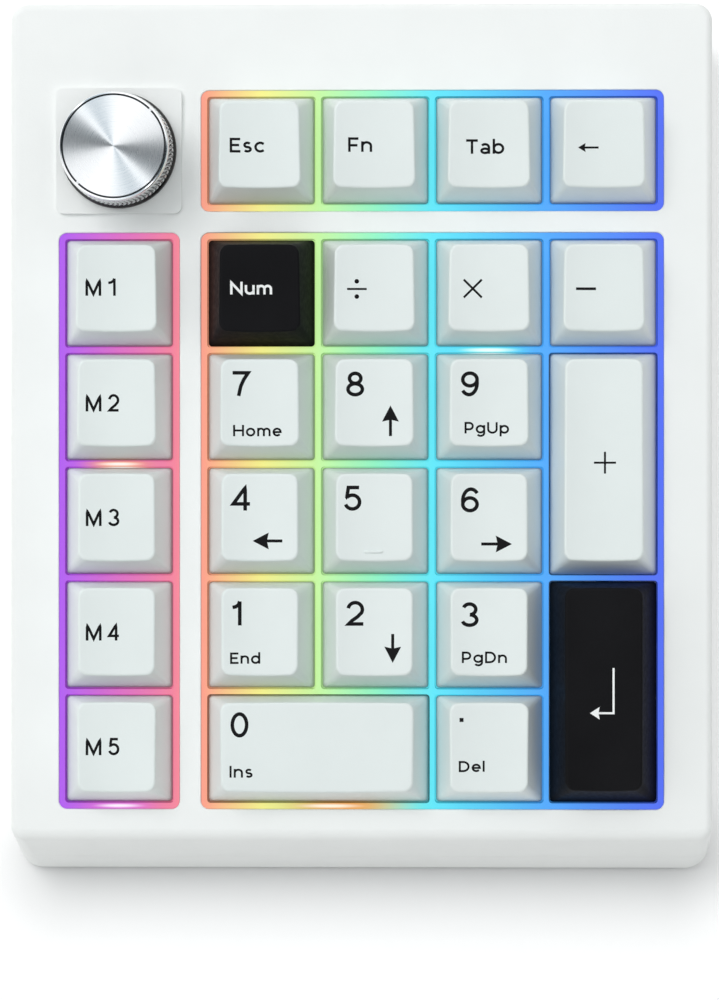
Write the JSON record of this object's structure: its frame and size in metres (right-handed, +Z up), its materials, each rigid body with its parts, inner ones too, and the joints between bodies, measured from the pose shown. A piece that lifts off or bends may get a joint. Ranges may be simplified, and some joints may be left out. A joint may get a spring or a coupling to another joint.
{
  "type": "numeric keypad",
  "caption": "Wedge-shaped numeric keypad with dished key caps, macro keys, lit frames round the keys, a push-and-turn knob and flip-out feet.",
  "frame": {"origin": "on the desk, under the middle of the case (bottom centre of the bounding box)", "axes": "+Z up from the desk, +Y from the user to the rear wall with the socket, +X to the user's right"},
  "size_m": [0.1174, 0.1432, 0.0463],
  "materials": {
    "case_plastic": "fine moulded texture, cool white",
    "cap_light": "fine sand texture, pale grey-white",
    "cap_dark": "fine sand texture, near black",
    "legend_black": "printed ink",
    "legend_white": "printed ink",
    "light_frame": "frosted light guide, lit in a slow rainbow",
    "plate_steel": "brushed sheet",
    "board": "solder mask",
    "switch_base": "moulded nylon",
    "switch_cover": "clear moulded cover",
    "switch_stem": "moulded acetal",
    "stabilizer_plastic": "moulded nylon",
    "spring_steel": "drawn wire",
    "contact_brass": "tinned",
    "led_lens": "clear lens",
    "chip": "moulded package",
    "socket_steel": "drawn shell",
    "encoder_steel": "turned",
    "screw_steel": "zinc plated",
    "foot_rubber": "matt moulded rubber",
    "knob_aluminium": "spun and diamond cut"
  },
  "bodies": {
    "case": {"top_case": "case_plastic", "bottom_case": "case_plastic", "switch_plate": "plate_steel", "circuit_board": "board", "light_frame_top": "light_frame", "light_frame_macro": "light_frame", "light_frame_numbers": "light_frame", "switch_housings_lower": "switch_base", "switch_housings_upper": "switch_cover", "switch_springs": "spring_steel", "switch_pins": "contact_brass", "stabilizer_housings": "stabilizer_plastic", "leds": "led_lens", "controller_chip": "chip", "usb_socket": "socket_steel", "knob_base_plate": "case_plastic", "encoder_bushing": "spring_steel", "encoder_body": "encoder_steel", "case_screws": "screw_steel", "plate_screws": "screw_steel", "rubber_feet": "foot_rubber"},
    "encoder_plunger": {"encoder_plunger": "switch_cover"},
    "knob": {"knob": "knob_aluminium", "knob_bush": "stabilizer_plastic", "encoder_shaft": "encoder_steel"},
    "flip_foot_left": {"flip_foot_left": "case_plastic"},
    "flip_foot_right": {"flip_foot_right": "case_plastic"},
    "key_esc": {"key_esc": "cap_light"},
    "key_fn": {"key_fn": "cap_light"},
    "key_tab": {"key_tab": "cap_light"},
    "key_backspace": {"key_backspace": "cap_light"},
    "key_m1": {"key_m1": "cap_light"},
    "key_m2": {"key_m2": "cap_light"},
    "key_m3": {"key_m3": "cap_light"},
    "key_m4": {"key_m4": "cap_light"},
    "key_m5": {"key_m5": "cap_light"},
    "key_num": {"key_num": "cap_dark"},
    "key_divide": {"key_divide": "cap_light"},
    "key_multiply": {"key_multiply": "cap_light"},
    "key_minus": {"key_minus": "cap_light"},
    "key_7": {"key_7": "cap_light"},
    "key_8": {"key_8": "cap_light"},
    "key_9": {"key_9": "cap_light"},
    "key_plus": {"key_plus": "cap_light"},
    "key_4": {"key_4": "cap_light"},
    "key_5": {"key_5": "cap_light"},
    "key_6": {"key_6": "cap_light"},
    "key_1": {"key_1": "cap_light"},
    "key_2": {"key_2": "cap_light"},
    "key_3": {"key_3": "cap_light"},
    "key_enter": {"key_enter": "cap_dark"},
    "key_0": {"key_0": "cap_light"},
    "key_decimal": {"key_decimal": "cap_light"},
    "stabilizer_wire_plus": {"stabilizer_wire_plus": "spring_steel"},
    "stabilizer_wire_enter": {"stabilizer_wire_enter": "spring_steel"},
    "stabilizer_wire_0": {"stabilizer_wire_0": "spring_steel"}
  },
  "joints": [
    {"name": "press_esc", "type": "slide", "parent": "case", "child": "key_esc", "axis": [0, 0.1045, -0.9945], "range_m": [0, 0.004], "stiffness_N_per_m": 150, "springref_m": -0.003, "deforming": ["switch_springs"]},
    {"name": "press_fn", "type": "slide", "parent": "case", "child": "key_fn", "axis": [0, 0.1045, -0.9945], "range_m": [0, 0.004], "stiffness_N_per_m": 150, "springref_m": -0.003},
    {"name": "press_tab", "type": "slide", "parent": "case", "child": "key_tab", "axis": [0, 0.1045, -0.9945], "range_m": [0, 0.004], "stiffness_N_per_m": 150, "springref_m": -0.003},
    {"name": "press_backspace", "type": "slide", "parent": "case", "child": "key_backspace", "axis": [0, 0.1045, -0.9945], "range_m": [0, 0.004], "stiffness_N_per_m": 150, "springref_m": -0.003},
    {"name": "press_m1", "type": "slide", "parent": "case", "child": "key_m1", "axis": [0, 0.1045, -0.9945], "range_m": [0, 0.004], "stiffness_N_per_m": 150, "springref_m": -0.003},
    {"name": "press_m2", "type": "slide", "parent": "case", "child": "key_m2", "axis": [0, 0.1045, -0.9945], "range_m": [0, 0.004], "stiffness_N_per_m": 150, "springref_m": -0.003},
    {"name": "press_m3", "type": "slide", "parent": "case", "child": "key_m3", "axis": [0, 0.1045, -0.9945], "range_m": [0, 0.004], "stiffness_N_per_m": 150, "springref_m": -0.003},
    {"name": "press_m4", "type": "slide", "parent": "case", "child": "key_m4", "axis": [0, 0.1045, -0.9945], "range_m": [0, 0.004], "stiffness_N_per_m": 150, "springref_m": -0.003},
    {"name": "press_m5", "type": "slide", "parent": "case", "child": "key_m5", "axis": [0, 0.1045, -0.9945], "range_m": [0, 0.004], "stiffness_N_per_m": 150, "springref_m": -0.003},
    {"name": "press_num", "type": "slide", "parent": "case", "child": "key_num", "axis": [0, 0.1045, -0.9945], "range_m": [0, 0.004], "stiffness_N_per_m": 150, "springref_m": -0.003},
    {"name": "press_divide", "type": "slide", "parent": "case", "child": "key_divide", "axis": [0, 0.1045, -0.9945], "range_m": [0, 0.004], "stiffness_N_per_m": 150, "springref_m": -0.003},
    {"name": "press_multiply", "type": "slide", "parent": "case", "child": "key_multiply", "axis": [0, 0.1045, -0.9945], "range_m": [0, 0.004], "stiffness_N_per_m": 150, "springref_m": -0.003},
    {"name": "press_minus", "type": "slide", "parent": "case", "child": "key_minus", "axis": [0, 0.1045, -0.9945], "range_m": [0, 0.004], "stiffness_N_per_m": 150, "springref_m": -0.003},
    {"name": "press_7", "type": "slide", "parent": "case", "child": "key_7", "axis": [0, 0.1045, -0.9945], "range_m": [0, 0.004], "stiffness_N_per_m": 150, "springref_m": -0.003},
    {"name": "press_8", "type": "slide", "parent": "case", "child": "key_8", "axis": [0, 0.1045, -0.9945], "range_m": [0, 0.004], "stiffness_N_per_m": 150, "springref_m": -0.003},
    {"name": "press_9", "type": "slide", "parent": "case", "child": "key_9", "axis": [0, 0.1045, -0.9945], "range_m": [0, 0.004], "stiffness_N_per_m": 150, "springref_m": -0.003},
    {"name": "press_plus", "type": "slide", "parent": "case", "child": "key_plus", "axis": [0, 0.1045, -0.9945], "range_m": [0, 0.004], "stiffness_N_per_m": 150, "springref_m": -0.003},
    {"name": "press_4", "type": "slide", "parent": "case", "child": "key_4", "axis": [0, 0.1045, -0.9945], "range_m": [0, 0.004], "stiffness_N_per_m": 150, "springref_m": -0.003},
    {"name": "press_5", "type": "slide", "parent": "case", "child": "key_5", "axis": [0, 0.1045, -0.9945], "range_m": [0, 0.004], "stiffness_N_per_m": 150, "springref_m": -0.003},
    {"name": "press_6", "type": "slide", "parent": "case", "child": "key_6", "axis": [0, 0.1045, -0.9945], "range_m": [0, 0.004], "stiffness_N_per_m": 150, "springref_m": -0.003},
    {"name": "press_1", "type": "slide", "parent": "case", "child": "key_1", "axis": [0, 0.1045, -0.9945], "range_m": [0, 0.004], "stiffness_N_per_m": 150, "springref_m": -0.003},
    {"name": "press_2", "type": "slide", "parent": "case", "child": "key_2", "axis": [0, 0.1045, -0.9945], "range_m": [0, 0.004], "stiffness_N_per_m": 150, "springref_m": -0.003},
    {"name": "press_3", "type": "slide", "parent": "case", "child": "key_3", "axis": [0, 0.1045, -0.9945], "range_m": [0, 0.004], "stiffness_N_per_m": 150, "springref_m": -0.003},
    {"name": "press_enter", "type": "slide", "parent": "case", "child": "key_enter", "axis": [0, 0.1045, -0.9945], "range_m": [0, 0.004], "stiffness_N_per_m": 150, "springref_m": -0.003},
    {"name": "press_0", "type": "slide", "parent": "case", "child": "key_0", "axis": [0, 0.1045, -0.9945], "range_m": [0, 0.004], "stiffness_N_per_m": 150, "springref_m": -0.003},
    {"name": "press_decimal", "type": "slide", "parent": "case", "child": "key_decimal", "axis": [0, 0.1045, -0.9945], "range_m": [0, 0.004], "stiffness_N_per_m": 150, "springref_m": -0.003},
    {"name": "stabilizer_swing_plus", "type": "hinge", "parent": "case", "child": "stabilizer_wire_plus", "pos_m": [0.04878, -0.00439, 0.01955], "axis": [0, -0.9945, -0.1045], "range_deg": [0, 27.9]},
    {"name": "stabilizer_swing_enter", "type": "hinge", "parent": "case", "child": "stabilizer_wire_enter", "pos_m": [0.04878, -0.04228, 0.01556], "axis": [0, -0.9945, -0.1045], "range_deg": [0, 27.9]},
    {"name": "stabilizer_swing_0", "type": "hinge", "parent": "case", "child": "stabilizer_wire_0", "pos_m": [-0.00714, -0.06001, 0.0137], "axis": [-1, 0, 0], "range_deg": [0, 27.9]},
    {"name": "knob_push", "type": "slide", "parent": "case", "child": "encoder_plunger", "axis": [0, 0.1045, -0.9945], "range_m": [0, 0.0005], "stiffness_N_per_m": 4000, "springref_m": -0.0003},
    {"name": "knob_turn", "type": "hinge", "parent": "encoder_plunger", "child": "knob", "pos_m": [-0.04048, 0.04693, 0.03248], "axis": [0, -0.1045, 0.9945], "continuous": true},
    {"name": "flip_left", "type": "hinge", "parent": "case", "child": "flip_foot_left", "pos_m": [-0.03, 0.062, 0.0036], "axis": [1, 0, 0], "range_deg": [0, 100]},
    {"name": "flip_right", "type": "hinge", "parent": "case", "child": "flip_foot_right", "pos_m": [0.03, 0.062, 0.0036], "axis": [1, 0, 0], "range_deg": [0, 100]}
  ],
  "couplings": [
    {"joint": "stabilizer_swing_plus", "follows": "press_plus", "rad_per_m": 121.3},
    {"joint": "stabilizer_swing_enter", "follows": "press_enter", "rad_per_m": 121.3},
    {"joint": "stabilizer_swing_0", "follows": "press_0", "rad_per_m": 121.3}
  ]
}
